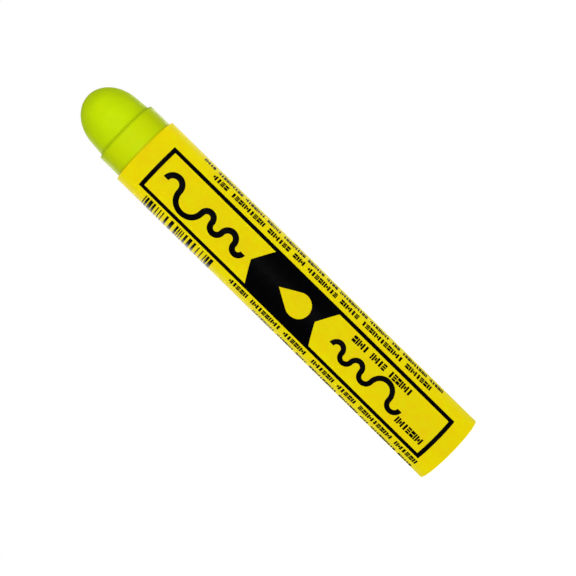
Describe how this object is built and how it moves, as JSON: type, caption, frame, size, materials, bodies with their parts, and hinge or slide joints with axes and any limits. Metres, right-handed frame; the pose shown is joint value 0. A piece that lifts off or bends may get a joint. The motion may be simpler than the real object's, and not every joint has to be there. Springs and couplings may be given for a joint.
{
  "type": "solid paint marker",
  "caption": "Round stick of solid paint with a rounded nose in a card tube; stands on its tail and marks metal, wood or stone by rubbing.",
  "frame": {"origin": "centre of the tail end, on the marker's axis", "axes": "+Z along the marker's axis, from the tail to the rounded tip; -Y out of the printed front"},
  "size_m": [0.0189, 0.019, 0.1207],
  "materials": {
    "solid_paint": "waxy moulded fluorescent green solid paint",
    "tube_card": "rolled card with cut ends",
    "yellow_paper": "yellow printed label paper, satin",
    "black_ink": "black printing ink, satin"
  },
  "bodies": {
    "root": {"paint_stick": "solid_paint", "card_tube": "tube_card", "label_paper": "yellow_paper", "label_print": "black_ink"}
  },
  "joints": []
}
